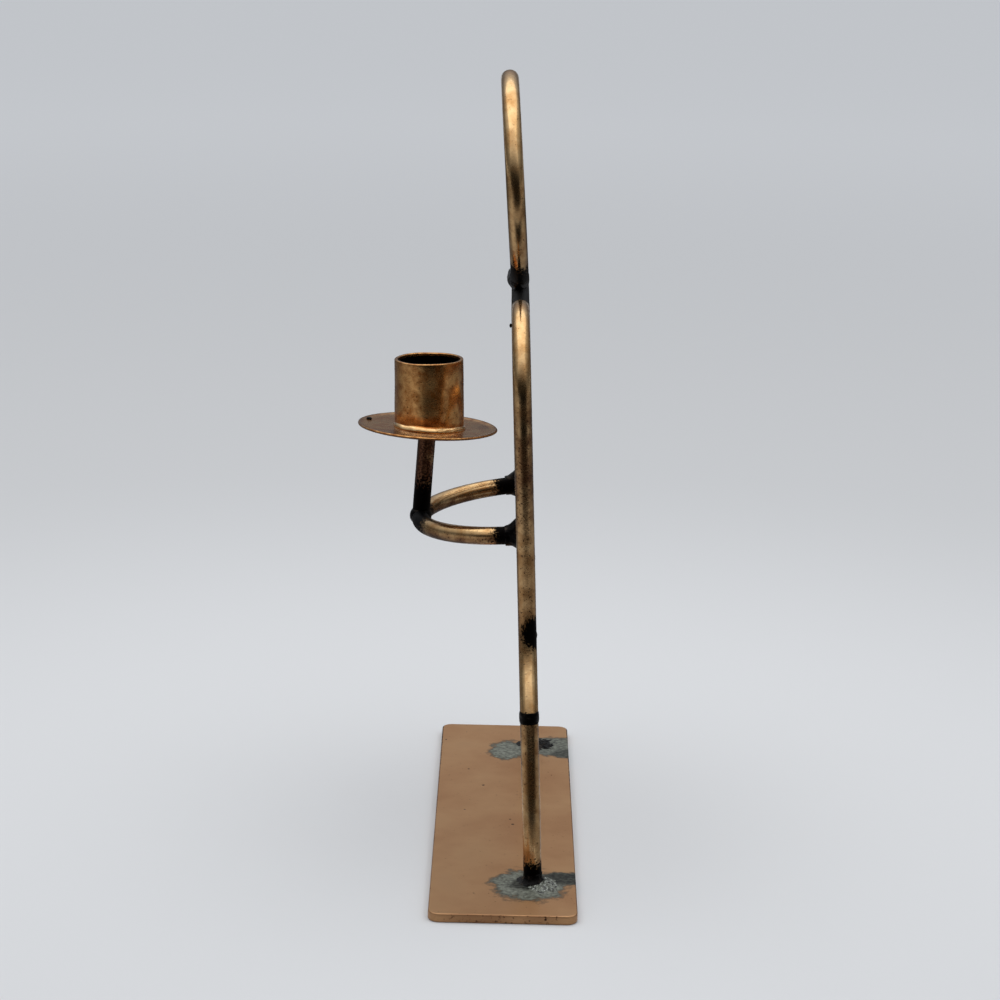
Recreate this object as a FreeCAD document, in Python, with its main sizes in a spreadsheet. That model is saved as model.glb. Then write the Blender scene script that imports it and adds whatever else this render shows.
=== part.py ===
import FreeCAD
import Part
import Sketcher
import math
import os
import re

# Candle holder: a flat figure of bent round rod, with a spiral in it, stands on
# a flat bar foot and carries a cup on a half ring that reaches out to the left.
# X is to the right, Y runs along the foot to the rear, Z is up, and the origin is
# the middle of the foot's underside. Lengths are in millimetres, angles in degrees.

doc = FreeCAD.newDocument("CandleHolder")

# Driving dimensions, kept in the sheet
driving = {
    "rod_diameter": 6.35,
    "joint_gap": 0.2,
    # Foot: a flat bar with rounded corners
    "plate_length": 203.2,
    "plate_width": 50.8,
    "plate_thickness": 3.175,
    "plate_corner_radius": 4.0,
    "plate_edge_radius": 0.5,
    # Figure: where it stands on the foot, and how far it leans to the left
    "figure_offset": 10.3,
    "figure_shift": 4.3,
    "figure_lean": 2.6,
    # Legs: two straight rods under the outer frame's ends
    "leg_height": 60.0,
    # Outer frame: bends in from the legs, then stands upright and turns over
    "frame_foot_angle": 25.0,
    "frame_sole_turn": 10.0,
    "frame_sole_radius": 70.0,
    "frame_flare_radius": 42.0,
    "frame_corner_radius": 27.0,
    # Spiral: half turns about two centres, so that the turns lie evenly
    "spiral_pitch": 15.5,
    "spiral_eye_radius": 12.0,
    "spiral_axis_rise": 21.0,
    "spiral_tail_drop": 13.2,
    "spiral_head_room": 19.0,
    # Crown ring: leans a little more than the figure
    "crown_diameter": 76.2,
    "crown_lean": 4.5,
    # Candle arch: half a ring that clears the pan, its outer side a little low
    "arch_clearance": 12.85,
    "arch_tilt": 6.4,
    # Candle post, from the arch's centre line to the pan
    "post_length": 33.2,
    "post_lean": 3.4,
    # Drip pan: its rear side hangs a little low too
    "pan_margin": 12.95,
    "pan_thickness": 0.9,
    "pan_lip_width": 3.0,
    "pan_lip_rise": 0.5,
    "pan_edge_radius": 0.3,
    "pan_lean": 2.3,
    "pan_nod": 2.0,
    # Candle cup, for a candle seven eighths of an inch thick
    "candle_diameter": 22.2,
    "candle_clearance": 0.15,
    "cup_wall": 1.2,
    "cup_height": 25.0,
    "cup_floor": 2.0,
    "cup_rim_radius": 0.4,
    "cup_inset": 0.6,
    "cup_lean": 1.3,
    # Welds, measured out from the rods that they join
    "foot_weld_width": 1.5,
    "foot_weld_top_width": 0.4,
    "foot_weld_height": 2.0,
    "leg_weld_width": 0.5,
    "leg_weld_half_height": 4.4,
    "leg_weld_offset": 0.3,
    "crown_weld_half_length": 11.0,
    "crown_weld_width": 0.4,
    "crown_weld_half_height": 4.2,
    "crown_weld_offset": 0.6,
    "crown_weld_rise": 2.4,
    "bead_stand_out": 1.0,
    "rear_bead_stand_out": 0.3,
    "bead_half_depth": 2.1,
    "bead_half_width": 2.6,
    "tail_weld_rise": 1.8,
    "tail_weld_half_height": 3.8,
    "front_tack_drop": 3.2,
    "tack_half_height": 2.4,
    "arch_weld_width": 1.0,
    "arch_weld_half_height": 6.0,
    "arch_weld_rise": 1.6,
    "post_weld_width": 1.2,
    "post_weld_rise": 2.0,
    "pan_weld_width": 1.4,
    "pan_weld_lower_width": 0.3,
    "pan_weld_height": 1.6,
    # Solder round the cup's base
    "solder_width": 1.5,
    "solder_top_width": 0.25,
    "solder_height": 1.7,
    # Spatter beads
    "pan_bead_radius": 0.8,
    "pan_bead_bearing": 163.7,
    "frame_bead_radius": 0.7,
    "frame_bead_bearing": 28.5,
}
sheet = doc.addObject("Spreadsheet::Sheet", "Dimensions")
for row, (alias, number) in enumerate(driving.items(), start=1):
    sheet.set(f"A{row}", alias.replace("_", " "))
    sheet.set(f"B{row}", str(number))
    sheet.setAlias(f"B{row}", alias)
doc.recompute()

# Sizes that follow from the driving ones
derived = {
    "rod_radius": "rod_diameter / 2",
    "bore_radius": "candle_diameter / 2 + candle_clearance",
    "cup_radius": "bore_radius + cup_wall",
    "pan_radius": "cup_radius + pan_margin",
    "arch_radius": "pan_radius + arch_clearance",
    "arch_end_angle": "asin((rod_radius + joint_gap) / arch_radius)",
    "spiral_radius": "arch_radius + spiral_pitch",
    "spiral_step": "spiral_pitch / 2",
    "frame_half_width": "spiral_radius + rod_diameter + joint_gap",
    "flare_angle": "frame_foot_angle + frame_sole_turn",
    "sole_reach": "frame_sole_radius * (cos(frame_foot_angle) - cos(flare_angle))",
    "sole_rise": "frame_sole_radius * (sin(flare_angle) - sin(frame_foot_angle))",
    "flare_reach": "frame_flare_radius * (1 - cos(flare_angle))",
    "flare_rise": "frame_flare_radius * sin(flare_angle)",
    "leg_half_spacing": "frame_half_width + sole_reach + flare_reach",
    "strand_foot": "leg_height + sole_rise + flare_rise",
    "spiral_axis": "strand_foot + spiral_axis_rise",
    "spiral_tail": "strand_foot - spiral_tail_drop",
    "frame_height": "spiral_axis + spiral_radius + rod_radius + spiral_head_room + rod_diameter",
    "corner_height": "frame_height - rod_radius - frame_corner_radius",
    "corner_half_spacing": "frame_half_width - frame_corner_radius",
    "seam_half_spacing": "frame_half_width - rod_radius - joint_gap / 2",
    "crown_radius": "crown_diameter / 2 - rod_radius",
}


def formula(text):
    # Spells each named size out as cells of the sheet.
    def spelled(found):
        name = found.group()
        return f"({formula(derived[name])})" if name in derived else f"Dimensions.{name}"

    return re.sub(r"[a-z]+(?:_[a-z]+)+", spelled, text)


def size(text):
    result = sheet.evalExpression(formula(text))
    return float(getattr(result, "Value", result))


def bind(item, **sizes):
    for name, text in sizes.items():
        item.setExpression(name, formula(text))
    return item


# Directions, turns and places
along_x = FreeCAD.Vector(1, 0, 0)
along_y = FreeCAD.Vector(0, 1, 0)
along_z = FreeCAD.Vector(0, 0, 1)
quarter_turn = 90
half_turn = 180
no_turn = FreeCAD.Rotation()


def place(x, y, z, turn=no_turn):
    return FreeCAD.Placement(FreeCAD.Vector(size(x), size(y), size(z)), turn)


def leaning(origin, lean, nod="0"):
    # A positive lean lowers the right side, and a positive nod the rear one.
    turn = FreeCAD.Rotation(along_y, size(lean)) * FreeCAD.Rotation(along_x, -size(nod))
    return FreeCAD.Placement(origin, turn)


foot = place("figure_offset", "figure_shift", "plate_thickness")
figure = leaning(foot.Base, "-figure_lean")
arch = leaning(figure.multVec(place("0", "0", "spiral_axis").Base), "-arch_tilt")
post = leaning(arch.multVec(place("-arch_radius", "0", "0").Base), "post_lean")
pan = leaning(post.multVec(place("0", "0", "post_length").Base), "pan_lean", "pan_nod")
pan_top = pan * place("cup_inset", "0", "pan_thickness")
cup = leaning(pan_top.Base, "-cup_lean")
crown = leaning(figure.multVec(place("0", "0", "frame_height + joint_gap").Base), "-crown_lean")
turned_round = FreeCAD.Rotation(along_z, half_turn)
halves = {"rear": figure, "front": figure * place("0", "0", "0", turned_round)}


# Helpers for solids
def solid(kind, name, placement, **sizes):
    item = doc.addObject(f"Part::{kind}", name)
    item.Placement = placement
    return bind(item, **sizes)


def rod_run(name, frame, y, z, heading, length):
    # Straight rod in the frame's upright plane; headings turn from +Y towards +Z.
    turn = FreeCAD.Rotation(along_x, heading - quarter_turn)
    return solid("Cylinder", name, frame * place("0", y, z, turn), Radius="rod_radius", Height=length)


def rod_bend(name, frame, y, z, heading, radius, angle):
    # Bent rod about a centre in the frame's upright plane, from a heading onwards.
    upright = FreeCAD.Rotation(along_y, along_z, along_x, "XYZ")
    turn = FreeCAD.Rotation(along_x, heading) * upright
    spot = frame * place("0", y, z, turn)
    return solid("Torus", name, spot, Radius1=radius, Radius2="rod_radius", Angle3=angle)


def slab(name, frame, reaches_up):
    # A block wider than any cut needs, over or under the frame's level plane.
    middle = "-plate_length / 2"
    bottom = "0" if reaches_up else "-plate_length"
    sides = {side: "plate_length" for side in ("Length", "Width", "Height")}
    return solid("Box", name, frame * place(middle, middle, bottom), **sides)


def joined(name, pieces):
    item = doc.addObject("Part::MultiFuse", name)
    item.Shapes = pieces
    return item


def without(blank, *tools):
    for tool in tools:
        item = doc.addObject("Part::Cut", f"{blank.Name}_less_{tool.Name}")
        item.Base = blank
        item.Tool = tool
        blank = item
    return blank


parts = []


def named(label, item):
    item.Label = label
    parts.append(item)
    return item


# Helpers for sketched bodies
def new_body(name, placement):
    body = doc.addObject("PartDesign::Body", name)
    body.Placement = placement
    return body


def outline(body, role, corners):
    # Closed outline through corners that are given as pairs of sizes.
    sketch = body.newObject("Sketcher::SketchObject", f"{body.Name}_outline")
    plane = next(f for f in body.Origin.OriginFeatures if f.Role == role)
    sketch.AttachmentSupport = [(plane, "")]
    sketch.MapMode = "FlatFace"
    points = [FreeCAD.Vector(size(x), size(y), 0) for x, y in corners]
    for start, end in zip(points, points[1:] + points[:1]):
        sketch.addGeometry(Part.LineSegment(start, end), False)
    for index, corner in enumerate(corners):
        before = (index - 1) % len(corners)
        sketch.addConstraint(Sketcher.Constraint("Coincident", before, 2, index, 1))
        for kind, axis, text in (("DistanceX", -2, corner[0]), ("DistanceY", -1, corner[1])):
            if text == "0":
                sketch.addConstraint(Sketcher.Constraint("PointOnObject", index, 1, axis))
            else:
                rule = Sketcher.Constraint(kind, -1, 1, index, 1, size(text))
                number = sketch.addConstraint(rule)
                sketch.setExpression(f"Constraints[{number}]", formula(text))
    return sketch


def revolved(body, corners):
    sketch = outline(body, "XZ_Plane", corners)
    feature = body.newObject("PartDesign::Revolution", f"{body.Name}_turned")
    feature.Profile = sketch
    feature.ReferenceAxis = (sketch, ["V_Axis"])
    return feature


def rounded(body, feature, radius, chosen):
    # Rounds the edges of the feature for which chosen(edge) is true.
    doc.recompute()
    names = [f"Edge{i}" for i, edge in enumerate(feature.Shape.Edges, start=1) if chosen(edge)]
    fillet = body.newObject("PartDesign::Fillet", f"{body.Name}_rounded_{radius}")
    fillet.Base = (feature, names)
    return bind(fillet, Radius=radius)


def is_upright(edge):
    return edge.BoundBox.ZLength > size("plate_thickness") / 2


def is_level(edge):
    return not is_upright(edge)


# Foot
plate_blank = new_body("base_plate_body", place("-plate_width / 2", "-plate_length / 2", "0"))
plate_corners = [
    ("0", "0"),
    ("plate_width", "0"),
    ("plate_width", "plate_length"),
    ("0", "plate_length"),
]
plate_pad = plate_blank.newObject("PartDesign::Pad", "base_plate_pad")
plate_pad.Profile = outline(plate_blank, "XY_Plane", plate_corners)
bind(plate_pad, Length="plate_thickness")
plate_cornered = rounded(plate_blank, plate_pad, "plate_corner_radius", is_upright)
rounded(plate_blank, plate_cornered, "plate_edge_radius", is_level)
named("base_plate", plate_blank)

# Legs: cut level where they stand on the foot
ground = slab("ground", foot, False)
leg_rods = {}
for side, frame in halves.items():
    leg_rods[side] = rod_run(
        f"{side}_leg_rod",
        frame,
        "leg_half_spacing",
        "-rod_diameter",
        quarter_turn,
        "leg_height + rod_diameter",
    )
    named(f"{side}_leg", without(leg_rods[side], ground))


# Outer frame: one rod, cut level on the legs' tops
def frame_half(side, frame):
    toe = size("frame_foot_angle")
    return [
        rod_run(
            f"{side}_frame_toe",
            frame,
            "leg_half_spacing + rod_diameter * sin(frame_foot_angle)",
            "leg_height - rod_diameter * cos(frame_foot_angle)",
            quarter_turn + toe,
            "rod_diameter",
        ),
        rod_bend(
            f"{side}_frame_sole",
            frame,
            "leg_half_spacing - frame_sole_radius * cos(frame_foot_angle)",
            "leg_height - frame_sole_radius * sin(frame_foot_angle)",
            toe,
            "frame_sole_radius",
            "frame_sole_turn",
        ),
        rod_bend(
            f"{side}_frame_flare",
            frame,
            "frame_half_width + frame_flare_radius",
            "strand_foot",
            half_turn,
            "frame_flare_radius",
            "flare_angle",
        ),
        rod_run(
            f"{side}_frame_strand",
            frame,
            "frame_half_width",
            "strand_foot",
            quarter_turn,
            "corner_height - strand_foot",
        ),
        rod_bend(
            f"{side}_frame_corner",
            frame,
            "corner_half_spacing",
            "corner_height",
            0,
            "frame_corner_radius",
            "90",
        ),
    ]


frame_pieces = [piece for side, frame in halves.items() for piece in frame_half(side, frame)]
frame_top = rod_run(
    "frame_top",
    figure,
    "-corner_half_spacing",
    "frame_height - rod_radius",
    0,
    "2 * corner_half_spacing",
)
frame_rod = joined("frame_rod", frame_pieces + [frame_top])
leg_level = slab("leg_level", figure * place("0", "0", "leg_height"), False)
outer_frame = named("outer_frame", without(frame_rod, leg_level))

# Spiral: a straight tail along the front strand, then half turns that close in
half_turns = 1 + math.floor(size("(spiral_radius - spiral_eye_radius) / spiral_step"))
spiral_pieces = [
    rod_run(
        "spiral_tail",
        figure,
        "-spiral_radius",
        "spiral_tail",
        quarter_turn,
        "spiral_axis - spiral_tail",
    )
]
for index in range(half_turns):
    is_over = index % 2 == 0
    spiral_pieces.append(
        rod_bend(
            f"spiral_turn_{index}",
            figure,
            "0" if is_over else "spiral_step",
            "spiral_axis",
            0 if is_over else half_turn,
            f"spiral_radius - {index} * spiral_step",
            "180",
        )
    )
spiral = named("spiral_scroll", joined("spiral_rod", spiral_pieces))

# Crown ring
crown_ring = named(
    "crown_ring",
    rod_bend("crown_rod", crown, "0", "crown_radius + rod_radius", 0, "crown_radius", "360"),
)

# Candle arch: its ends stop at the sides of the spiral's second turn
arch_start = FreeCAD.Rotation(along_z, quarter_turn + size("arch_end_angle"))
candle_arch = named(
    "candle_arch",
    solid(
        "Torus",
        "arch_rod",
        arch * place("0", "0", "0", arch_start),
        Radius1="arch_radius",
        Radius2="rod_radius",
        Angle3="180 deg - 2 * arch_end_angle",
    ),
)

# Candle post: saddled on the arch and cut to the pan's underside
post_rod = solid("Cylinder", "post_rod", post, Radius="rod_radius", Height="post_length + rod_diameter")
above_pan = slab("above_pan", pan, True)
candle_post = named("candle_post", without(post_rod, candle_arch, above_pan))

# Drip pan: a disc with a turned-up lip
pan_body = new_body("drip_pan_body", pan)
pan_corners = [
    ("0", "0"),
    ("pan_radius - pan_lip_width", "0"),
    ("pan_radius", "pan_lip_rise"),
    ("pan_radius", "pan_lip_rise + pan_thickness"),
    ("pan_radius - pan_lip_width", "pan_thickness"),
    ("0", "pan_thickness"),
]
pan_disc = revolved(pan_body, pan_corners)


def is_outermost(edge):
    return edge.BoundBox.XMax > size("pan_radius - pan_edge_radius")


rounded(pan_body, pan_disc, "pan_edge_radius", is_outermost)
drip_pan = named("drip_pan", pan_body)

# Candle cup: the blank reaches through the pan's tilted top, which then trims it
cup_body = new_body("candle_cup_body", cup * place("0", "0", "-cup_floor"))
cup_corners = [
    ("0", "0"),
    ("cup_radius", "0"),
    ("cup_radius", "cup_height + cup_floor"),
    ("bore_radius", "cup_height + cup_floor"),
    ("bore_radius", "2 * cup_floor"),
    ("0", "2 * cup_floor"),
]
cup_turned = revolved(cup_body, cup_corners)


def is_rim(edge):
    return edge.BoundBox.ZMin > size("cup_height")


rounded(cup_body, cup_turned, "cup_rim_radius", is_rim)
below_cup = slab("below_cup", pan_top, False)
candle_cup = named("candle_cup", without(cup_body, below_cup))


# Welds: round the legs, at the foot and at the top
for side, frame in halves.items():
    foot_weld = solid(
        "Cone",
        f"{side}_foot_bead",
        FreeCAD.Placement(frame.multVec(place("0", "leg_half_spacing", "0").Base), no_turn),
        Radius1="rod_radius + foot_weld_width",
        Radius2="rod_radius + foot_weld_top_width",
        Height="foot_weld_height",
    )
    named(f"weld_{side}_foot", without(foot_weld, leg_rods[side]))
    leg_spot = frame.multVec(place("0", "leg_half_spacing", "leg_height").Base)
    leg_weld = solid(
        "Ellipsoid",
        f"{side}_leg_bead",
        FreeCAD.Placement(leg_spot, figure.Rotation) * place("leg_weld_offset", "0", "0"),
        Radius1="leg_weld_half_height",
        Radius2="rod_radius + leg_weld_width",
        Radius3="rod_radius + leg_weld_width",
    )
    leg = next(item for item in parts if item.Label == f"{side}_leg")
    named(f"weld_{side}_leg_top", without(leg_weld, leg, outer_frame))

# Weld between the frame's top and the crown ring
crown_weld = solid(
    "Ellipsoid",
    "crown_bead",
    figure * place("-crown_weld_offset", "0", "frame_height + crown_weld_rise"),
    Radius1="crown_weld_half_height",
    Radius2="rod_radius + crown_weld_width",
    Radius3="crown_weld_half_length",
)
named("weld_crown_ring", without(crown_weld, outer_frame, crown_ring))


# Welds in the seam between the frame's strands and the spiral, on their right side
def seam_weld(label, y, z, half_height, stand_out):
    bead = solid(
        "Ellipsoid",
        f"{label}_bead",
        figure * place(f"rod_radius + {stand_out} - bead_half_depth", y, z),
        Radius1=half_height,
        Radius2="bead_half_depth",
        Radius3="bead_half_width",
    )
    named(label, without(bead, outer_frame, spiral))


seam_weld(
    "weld_spiral_tail",
    "-seam_half_spacing",
    "spiral_tail + tail_weld_rise",
    "tail_weld_half_height",
    "bead_stand_out",
)
seam_weld(
    "weld_spiral_front",
    "-seam_half_spacing",
    "spiral_axis - front_tack_drop",
    "tack_half_height",
    "bead_stand_out",
)
seam_weld(
    "weld_spiral_rear",
    "seam_half_spacing",
    "spiral_axis",
    "tack_half_height",
    "rear_bead_stand_out",
)

# Welds at the arch's two ends
for side, y in (("front", "-arch_radius"), ("rear", "arch_radius")):
    arch_weld = solid(
        "Ellipsoid",
        f"{side}_arch_bead",
        arch * place("-rod_radius - joint_gap", y, "arch_weld_rise"),
        Radius1="arch_weld_half_height",
        Radius2="rod_radius + arch_weld_width",
        Radius3="rod_radius + arch_weld_width",
    )
    named(f"weld_arch_{side}", without(arch_weld, candle_arch, spiral))

# Welds at the post's foot and head
post_weld = solid(
    "Sphere",
    "post_bead",
    post * place("0", "0", "post_weld_rise"),
    Radius="rod_radius + post_weld_width",
)
named("weld_post_foot", without(post_weld, candle_arch, candle_post))
pan_weld = solid(
    "Cone",
    "pan_bead",
    pan * place("0", "0", "-pan_weld_height"),
    Radius1="rod_radius + pan_weld_lower_width",
    Radius2="rod_radius + pan_weld_width",
    Height="pan_weld_height",
)
named("weld_post_head", without(pan_weld, candle_post))

# Solder round the cup's base
solder_blank = solid(
    "Cone",
    "solder_blank",
    pan_top,
    Radius1="cup_radius + solder_width",
    Radius2="cup_radius + solder_top_width",
    Height="solder_height",
)
solder_bore = solid(
    "Cylinder",
    "solder_bore",
    cup * place("0", "0", "-solder_height"),
    Radius="cup_radius",
    Height="3 * solder_height",
)
named("cup_solder", without(solder_blank, solder_bore))

# Spatter beads: one on the pan's lip, one on the frame's front corner
pan_bearing = FreeCAD.Rotation(along_z, size("pan_bead_bearing"))
pan_spatter = solid(
    "Sphere",
    "pan_spatter",
    pan * place("0", "0", "pan_thickness", pan_bearing) * place("pan_radius - pan_lip_width", "0", "0"),
    Radius="pan_bead_radius",
)
named("spatter_pan_lip", without(pan_spatter, drip_pan))
frame_bearing = FreeCAD.Rotation(along_x, size("frame_bead_bearing"))
frame_spatter = solid(
    "Sphere",
    "frame_spatter",
    figure
    * place("-rod_radius", "-corner_half_spacing", "corner_height", frame_bearing)
    * place("0", "0", "frame_corner_radius"),
    Radius="frame_bead_radius",
)
named("spatter_frame_corner", without(frame_spatter, outer_frame))

# Checks and export
doc.recompute()
for item in doc.Objects:
    if "Invalid" in item.State or "Error" in item.State:
        raise RuntimeError(f"{item.Name} failed: {item.State}")
for item in parts:
    if item.Shape.isNull() or not item.Shape.isValid():
        raise RuntimeError(f"{item.Label} has no valid shape")
os.makedirs("parts", exist_ok=True)
for item in parts:
    item.Shape.exportStep(f"parts/{item.Label}.step")
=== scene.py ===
import bpy
import bmesh
import math
import numpy as np
from mathutils import Matrix, Vector, noise


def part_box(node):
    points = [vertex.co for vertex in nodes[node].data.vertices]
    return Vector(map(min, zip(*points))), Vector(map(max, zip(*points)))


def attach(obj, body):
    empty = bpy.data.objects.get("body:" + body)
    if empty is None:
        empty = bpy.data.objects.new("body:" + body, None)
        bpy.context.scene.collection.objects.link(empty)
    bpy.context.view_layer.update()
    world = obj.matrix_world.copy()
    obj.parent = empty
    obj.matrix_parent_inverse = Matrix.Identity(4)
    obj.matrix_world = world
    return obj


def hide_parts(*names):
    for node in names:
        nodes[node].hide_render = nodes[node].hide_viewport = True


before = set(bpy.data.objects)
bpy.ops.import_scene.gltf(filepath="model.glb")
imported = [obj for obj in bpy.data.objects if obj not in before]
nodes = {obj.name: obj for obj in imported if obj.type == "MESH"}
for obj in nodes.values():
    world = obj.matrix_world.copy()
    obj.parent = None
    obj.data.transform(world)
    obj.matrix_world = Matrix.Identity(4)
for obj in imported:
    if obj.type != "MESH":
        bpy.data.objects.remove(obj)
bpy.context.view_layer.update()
print("frame loaded:", len(nodes), "nodes")

# All sizes in the dictionaries are millimetres and degrees, places are metres.
milli = 0.001
rod = {"diameter": 6.35, "sides": 40, "step": 0.9, "waviness": 0.035, "waveLength": 9.0}
figure = {
    "foot": (10.3, 4.3, 3.175), "lean": -2.6, "legHeight": 60.0, "toeAngle": 25.0, "soleTurn": 10.0,
    "soleRadius": 70.0, "flareRadius": 42.0, "cornerRadius": 27.0, "jointGap": 0.2, "headRoom": 19.0,
}
scroll = {"pitch": 15.5, "axisRise": 21.0, "tailDrop": 13.2, "halfTurns": 6, "pointsPerHalfTurn": 150}
arch = {"radius": 38.25, "tilt": -6.4}
crown = {"diameter": 76.2, "lean": -4.2, "turn": 0.4}
post = {"length": 33.2, "lean": 3.4}


def mm(*values):
    return Vector(value * milli for value in values) if len(values) > 1 else values[0] * milli


def hexColour(text):
    # sRGB hex to linear, as the sockets want it
    parts = [int(text[i:i + 2], 16) / 255 for i in (1, 3, 5)]
    return tuple(p / 12.92 if p <= 0.04045 else ((p + 0.055) / 1.055) ** 2.4 for p in parts) + (1.0,)


def addNode(tree, kind, links=None, **settings):
    node = tree.nodes.new(kind)
    for name, value in settings.items():
        setattr(node, name, value)
    for socket, source in (links or {}).items():
        if isinstance(source, bpy.types.NodeSocket):
            tree.links.new(source, node.inputs[socket])
        else:
            node.inputs[socket].default_value = source
    return node


# Places that follow from the sizes above
def leanAt(origin, degrees, nod=0.0):
    turn = Matrix.Rotation(math.radians(degrees), 4, "Y") @ Matrix.Rotation(math.radians(-nod), 4, "X")
    return Matrix.Translation(origin) @ turn


rodRadius = rod["diameter"] / 2
toe = math.radians(figure["toeAngle"])
flare = math.radians(figure["toeAngle"] + figure["soleTurn"])
soleReach = figure["soleRadius"] * (math.cos(toe) - math.cos(flare))
soleRise = figure["soleRadius"] * (math.sin(flare) - math.sin(toe))
scrollRadius = arch["radius"] + scroll["pitch"]
halfWidth = scrollRadius + rod["diameter"] + figure["jointGap"]
legSpacing = halfWidth + soleReach + figure["flareRadius"] * (1 - math.cos(flare))
strandFoot = figure["legHeight"] + soleRise + figure["flareRadius"] * math.sin(flare)
scrollAxis = strandFoot + scroll["axisRise"]
scrollTail = strandFoot - scroll["tailDrop"]
frameTop = scrollAxis + scrollRadius + rodRadius + figure["headRoom"] + rod["diameter"]
figurePlace = leanAt(mm(*figure["foot"]), figure["lean"])
archPlace = leanAt(figurePlace @ mm(0, 0, scrollAxis), arch["tilt"])
crownFoot = figurePlace @ mm(0, 0, frameTop + figure["jointGap"])
crownPlace = leanAt(crownFoot, crown["lean"]) @ Matrix.Rotation(math.radians(crown["turn"]), 4, "Z")
postPlace = leanAt(archPlace @ mm(-arch["radius"], 0, 0), post["lean"])


# Meshes that geometry nodes grow
def newTree(name, inputs):
    tree = bpy.data.node_groups.new(name, "GeometryNodeTree")
    tree.interface.new_socket("Geometry", in_out="INPUT", socket_type="NodeSocketGeometry")
    for label, kind, value in inputs:
        socket = tree.interface.new_socket(label, in_out="INPUT", socket_type=f"NodeSocket{kind}")
        if value is not None:
            socket.default_value = value
    tree.interface.new_socket("Geometry", in_out="OUTPUT", socket_type="NodeSocketGeometry")
    return tree, addNode(tree, "NodeGroupInput").outputs


def endTree(tree, geometry, material):
    smooth = addNode(tree, "GeometryNodeSetShadeSmooth", {"Geometry": geometry})
    whole = addNode(tree, "GeometryNodeRealizeInstances", {"Geometry": smooth.outputs[0]})
    done = addNode(tree, "GeometryNodeSetMaterial", {"Geometry": whole.outputs[0], "Material": material})
    addNode(tree, "NodeGroupOutput", {"Geometry": done.outputs[0]})


def grow(name, tree, values, base=None, place=None):
    # One plain mesh from the tree; the modifier goes with the helper object.
    helper = bpy.data.objects.new(f"{name}.helper", base or bpy.data.meshes.new(f"{name}.base"))
    bpy.context.scene.collection.objects.link(helper)
    modifier = helper.modifiers.new("grow", "NODES")
    modifier.node_group = tree
    for item in tree.interface.items_tree:
        if item.in_out == "INPUT" and item.name in values:
            modifier[item.identifier] = values[item.name]
    bpy.context.view_layer.update()
    grown = helper.evaluated_get(bpy.context.evaluated_depsgraph_get())
    mesh = bpy.data.meshes.new_from_object(grown)
    bpy.data.objects.remove(helper)
    if place:
        mesh.transform(place)
    return newPiece(name, mesh)


def newPiece(name, mesh):
    mesh.name = name
    piece = bpy.data.objects.new(name, mesh)
    bpy.context.scene.collection.objects.link(piece)
    return piece


def seat(piece, slotName, *replaced):
    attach(piece, "root")
    if replaced:
        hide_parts(*replaced)
    return piece


def mathNode(tree, operation, *inputs):
    return addNode(tree, "ShaderNodeMath", dict(enumerate(inputs)), operation=operation).outputs[0]


def vectorMath(tree, operation, *inputs):
    return addNode(tree, "ShaderNodeVectorMath", dict(enumerate(inputs)), operation=operation)


# Weathering and painted shade: torch soot round each weld and patina by height, both kept on the vertices;
# on some pieces these same two values paint shade
sootEnd = 1.6  # how many reaches out the soot has faded away


def weatherAndShade(piece, place, patinaAndShade, sootAndShade):
    # the patina list, which also paints shade on some pieces: (height, share) pairs; the soot list, which
    # also paints shade on some pieces: (place, middle, reach each way, strength), all in millimetres
    places = np.empty(len(piece.data.vertices) * 3)
    piece.data.vertices.foreach_get("co", places)

    def seenFrom(spot):
        inverse = np.array(spot.inverted())
        return (places.reshape(-1, 3) @ inverse[:3, :3].T + inverse[:3, 3]) / milli

    black = np.zeros(len(piece.data.vertices))
    for spot, middle, reach, strength in sootAndShade:
        distance = np.linalg.norm((seenFrom(spot) - middle) / reach, axis=1)
        black = np.maximum(black, strength * (sootEnd - distance))
    agedAndShaded = np.interp(seenFrom(place)[:, 2], *zip(*patinaAndShade))
    for name, values in (("sootAndShade", np.clip(black, 0.0, 1.0)), ("patinaAndShade", agedAndShaded)):
        piece.data.attributes.new(name, "FLOAT", "POINT").data.foreach_set("value", values)
    return piece


# Materials
def newMaterial(name):
    material = bpy.data.materials.new(name)
    material.use_nodes = True
    tree = material.node_tree
    tree.nodes.clear()
    return material, tree


def finishMaterial(tree, sockets):
    shader = addNode(tree, "ShaderNodeBsdfPrincipled", sockets)
    addNode(tree, "ShaderNodeOutputMaterial", {"Surface": shader.outputs[0]})


def grain(tree, vector, size, detail=3.0, roughness=0.55):
    # Noise whose features are about size millimetres wide
    sockets = {"Vector": vector, "Scale": 1 / mm(size), "Detail": detail, "Roughness": roughness}
    return addNode(tree, "ShaderNodeTexNoise", sockets).outputs[0]


def ramp(tree, value, low, high, start=0.0, end=1.0, shape="LINEAR"):
    sockets = {"Value": value, "From Min": low, "From Max": high, "To Min": start, "To Max": end}
    return addNode(tree, "ShaderNodeMapRange", sockets, interpolation_type=shape).outputs[0]


def blendColours(tree, share, first, second):
    node = addNode(tree, "ShaderNodeMix", data_type="RGBA")
    for socket, source in ((0, share), (6, first), (7, second)):
        if isinstance(source, bpy.types.NodeSocket):
            tree.links.new(source, node.inputs[socket])
        else:
            node.inputs[socket].default_value = source
    return node.outputs[2]


# Noise values between which one look turns into the next, and the height of the grain in millimetres
lacquer = {
    "mottle": (0.38, 0.66), "ageing": (0.35, 0.65), "agedShare": (0.45, 1.0), "pitSpan": 0.13,
    "pitShare": 0.85, "blackEdge": (0.38, 0.66), "blackRagged": 0.24, "blackRoughness": 0.6, "relief": 0.05,
}


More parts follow.
